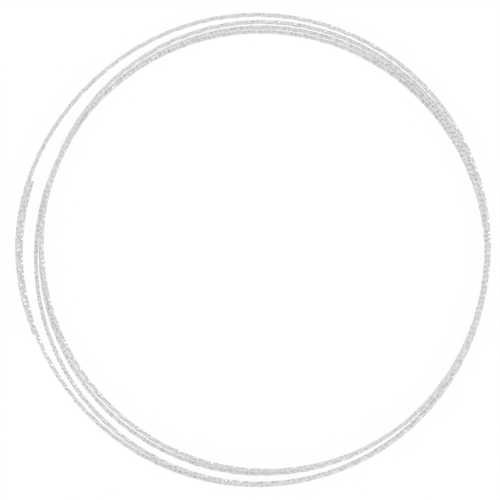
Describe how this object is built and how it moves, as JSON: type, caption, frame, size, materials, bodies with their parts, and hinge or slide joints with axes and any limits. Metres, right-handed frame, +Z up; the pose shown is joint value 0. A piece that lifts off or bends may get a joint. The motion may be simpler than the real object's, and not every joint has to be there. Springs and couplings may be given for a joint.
{
  "type": "wreath frame",
  "caption": "Loose flat ring of springy silver florist's wire with a diamond-cut surface, wound in stacked turns with two free cut ends.",
  "frame": {"origin": "centre of the ring's outline, on the surface that the ring lies on", "axes": "+Z up, along the ring's axis; +X to the ring's right side, where all turns bunch together; -X to the side with the two free ends"},
  "size_m": [0.2498, 0.2494, 0.0093],
  "materials": {
    "wire": "lacquered silver aluminium, diamond-cut facets all round, bright glints",
    "wire_end": "the same lacquered silver aluminium, brighter, with a sheared end face"
  },
  "bodies": {
    "turn_1_front": {"turn_1_front": "wire"},
    "end_a": {"end_a_tail": "wire", "end_a_tip": "wire_end"},
    "turn_1_back": {"turn_1_back": "wire"},
    "turn_2_front": {"turn_2_front": "wire"},
    "turn_2_back": {"turn_2_back": "wire"},
    "turn_3_front": {"turn_3_front": "wire"},
    "turn_3_back": {"turn_3_back": "wire"},
    "turn_4_front": {"turn_4_front": "wire"},
    "turn_4_back": {"turn_4_back": "wire"},
    "end_b": {"end_b_tail": "wire", "end_b_tip": "wire_end"}
  },
  "joints": [
    {"name": "end_a_lift", "type": "hinge", "parent": "turn_1_front", "child": "end_a", "pos_m": [-0.06979, -0.1005, 0.00105], "axis": [0.8133, -0.5819, 0], "range_deg": [0, 3], "stiffness_Nm_per_rad": 0.12},
    {"name": "turn_1_right_twist", "type": "hinge", "parent": "turn_1_front", "child": "turn_1_back", "pos_m": [0.12286, 0.00039, 0.00105], "axis": [-0.034, 0.9994, 0], "range_deg": [0, 20], "stiffness_Nm_per_rad": 0.1},
    {"name": "turn_1_left_twist", "type": "hinge", "parent": "turn_1_back", "child": "turn_2_front", "pos_m": [-0.09836, -0.06404, 0.00225], "axis": [0.4998, -0.8656, 0.029], "range_deg": [0, 20], "stiffness_Nm_per_rad": 0.1},
    {"name": "turn_2_right_twist", "type": "hinge", "parent": "turn_2_front", "child": "turn_2_back", "pos_m": [0.12336, 0.00039, 0.00345], "axis": [-0.0208, 0.9998, 0], "range_deg": [0, 20], "stiffness_Nm_per_rad": 0.1},
    {"name": "turn_2_left_twist", "type": "hinge", "parent": "turn_2_back", "child": "turn_3_front", "pos_m": [-0.09458, -0.06159, 0.00465], "axis": [0.5201, -0.8536, 0.0302], "range_deg": [0, 20], "stiffness_Nm_per_rad": 0.1},
    {"name": "turn_3_right_twist", "type": "hinge", "parent": "turn_3_front", "child": "turn_3_back", "pos_m": [0.12261, 0.00039, 0.00585], "axis": [0.0026, 1, 0], "range_deg": [0, 20], "stiffness_Nm_per_rad": 0.1},
    {"name": "turn_3_left_twist", "type": "hinge", "parent": "turn_3_back", "child": "turn_4_front", "pos_m": [-0.09253, -0.06025, 0.00705], "axis": [0.5356, -0.8439, 0.0309], "range_deg": [0, 20], "stiffness_Nm_per_rad": 0.1},
    {"name": "turn_4_right_twist", "type": "hinge", "parent": "turn_4_front", "child": "turn_4_back", "pos_m": [0.12386, 0.00039, 0.00825], "axis": [0.0142, 0.9999, 0], "range_deg": [0, 20], "stiffness_Nm_per_rad": 0.1},
    {"name": "end_b_lift", "type": "hinge", "parent": "turn_4_back", "child": "end_b", "pos_m": [0.00086, 0.12364, 0.00825], "axis": [-1, -0.0066, 0], "range_deg": [0, 25], "stiffness_Nm_per_rad": 0.12}
  ]
}
